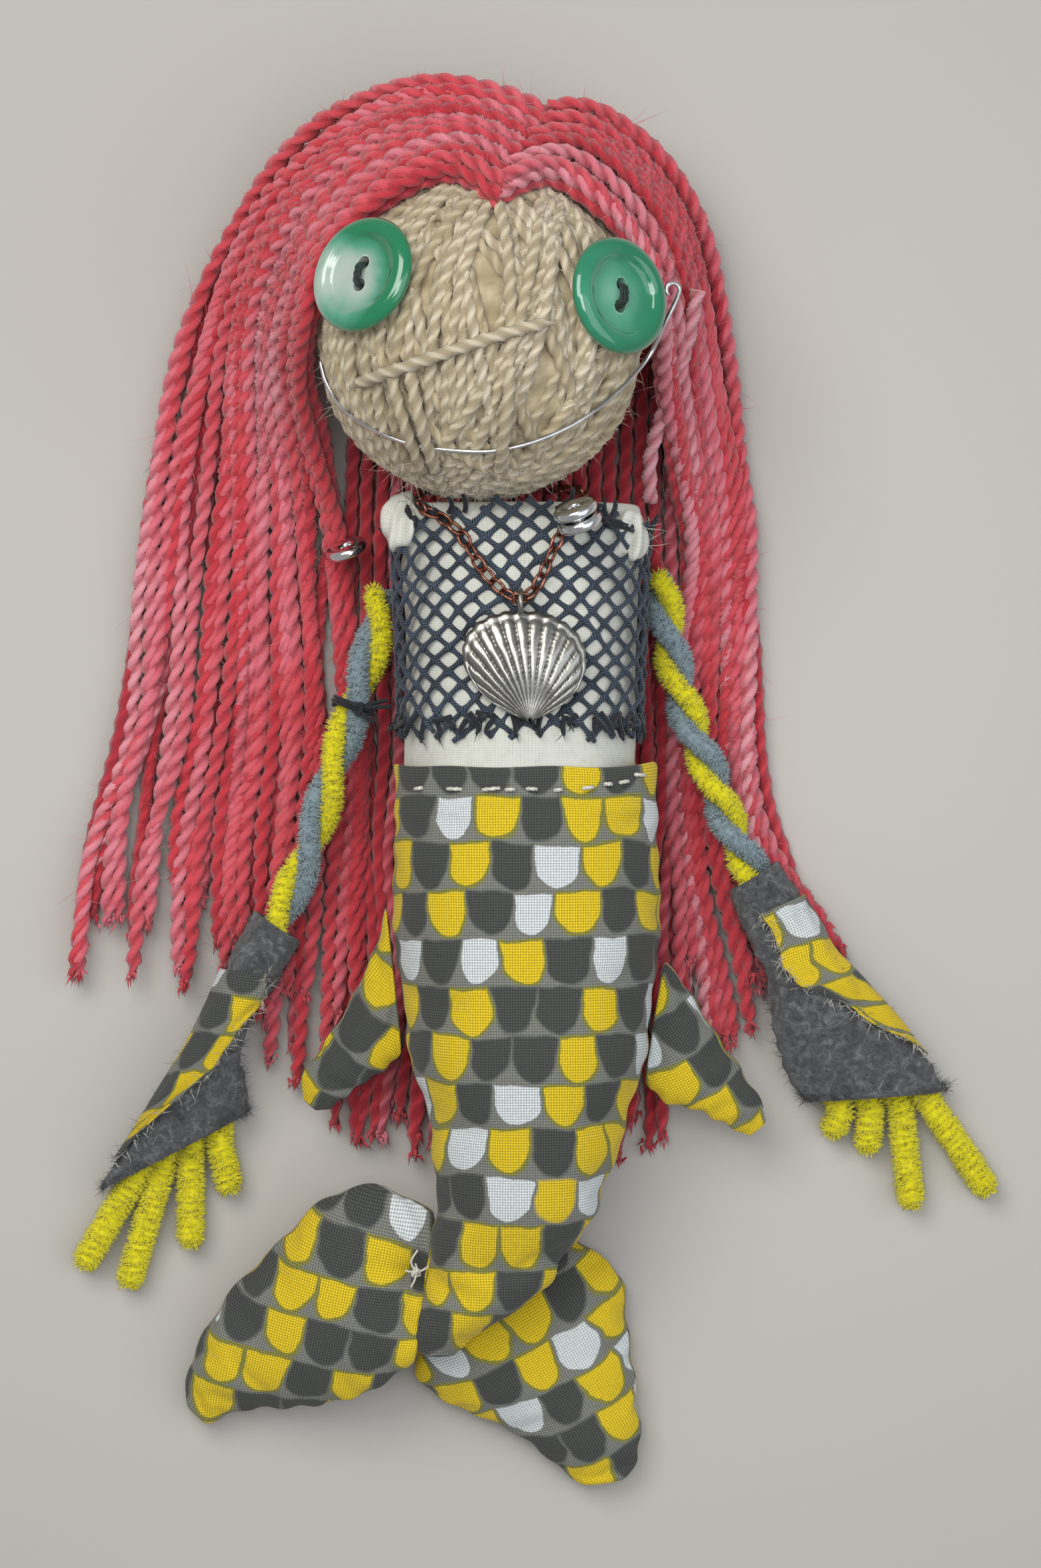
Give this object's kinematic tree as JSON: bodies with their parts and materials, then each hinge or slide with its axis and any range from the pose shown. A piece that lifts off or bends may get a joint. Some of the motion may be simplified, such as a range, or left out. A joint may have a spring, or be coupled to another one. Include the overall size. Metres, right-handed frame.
{
  "type": "mermaid doll",
  "caption": "Hand-made mermaid doll lying on its back, with yarn head and hair, button eyes, net top, twisted arms and a stuffed tail.",
  "frame": {"origin": "on the surface that the doll lies on, under its waist, at the middle of the hair's flat back", "axes": "+Z the way that the face looks, +Y towards the head, +X towards the side without the longer hair"},
  "size_m": [0.1761, 0.2661, 0.0692],
  "materials": {
    "beige_yarn": "fuzzy wool",
    "red_yarn": "fuzzy two-ply wool",
    "pink_yarn": "fuzzy two-ply wool",
    "button": "polished, pearly",
    "thread": "dark sewing thread",
    "silver_wire": "polished",
    "calico": "plain weave",
    "net": "knotted net",
    "copper": "aged copper",
    "shell_silver": "cast, darkened in the grooves",
    "yellow_chenille": "chenille pile",
    "grey_chenille": "chenille pile",
    "felt": "wool felt",
    "print_cloth": "linen weave with a scale print"
  },
  "bodies": {
    "root": {"arm_left_grey": "grey_chenille", "arm_left_yellow": "yellow_chenille", "arm_right_grey": "grey_chenille", "arm_right_yellow": "yellow_chenille", "ear_drop_left": "silver_wire", "ear_drop_right_1": "silver_wire", "ear_drop_right_2": "silver_wire", "eye_button_left": "button", "eye_button_right": "button", "eye_thread_left": "thread", "eye_thread_right": "thread", "face_strand": "beige_yarn", "finger_left_1": "yellow_chenille", "finger_left_2": "yellow_chenille", "finger_left_3": "yellow_chenille", "finger_left_4": "yellow_chenille", "finger_right_1": "yellow_chenille", "finger_right_2": "yellow_chenille", "finger_right_3": "yellow_chenille", "finger_right_4": "yellow_chenille", "fluke_left": "print_cloth", "fluke_right": "print_cloth", "hair_back_1": "red_yarn", "hair_back_2": "red_yarn", "hair_back_3": "red_yarn", "hair_back_4": "pink_yarn", "hair_back_5": "red_yarn", "hair_left_1": "red_yarn", "hair_left_2": "pink_yarn", "hair_left_3": "red_yarn", "hair_left_4": "red_yarn", "hair_left_5": "pink_yarn", "hair_left_6": "red_yarn", "hair_right_1": "red_yarn", "hair_right_2": "pink_yarn", "hair_right_3": "red_yarn", "hair_right_4": "red_yarn", "head_ball": "beige_yarn", "hip_fin_left": "print_cloth", "hip_fin_right": "print_cloth", "mouth_wire": "silver_wire", "necklace_chain": "copper", "net_top": "net", "shell_pendant": "shell_silver", "sleeve_left": "felt", "sleeve_print_left": "print_cloth", "sleeve_print_right": "print_cloth", "sleeve_right": "felt", "tail": "print_cloth", "torso": "calico"}
  },
  "joints": []
}
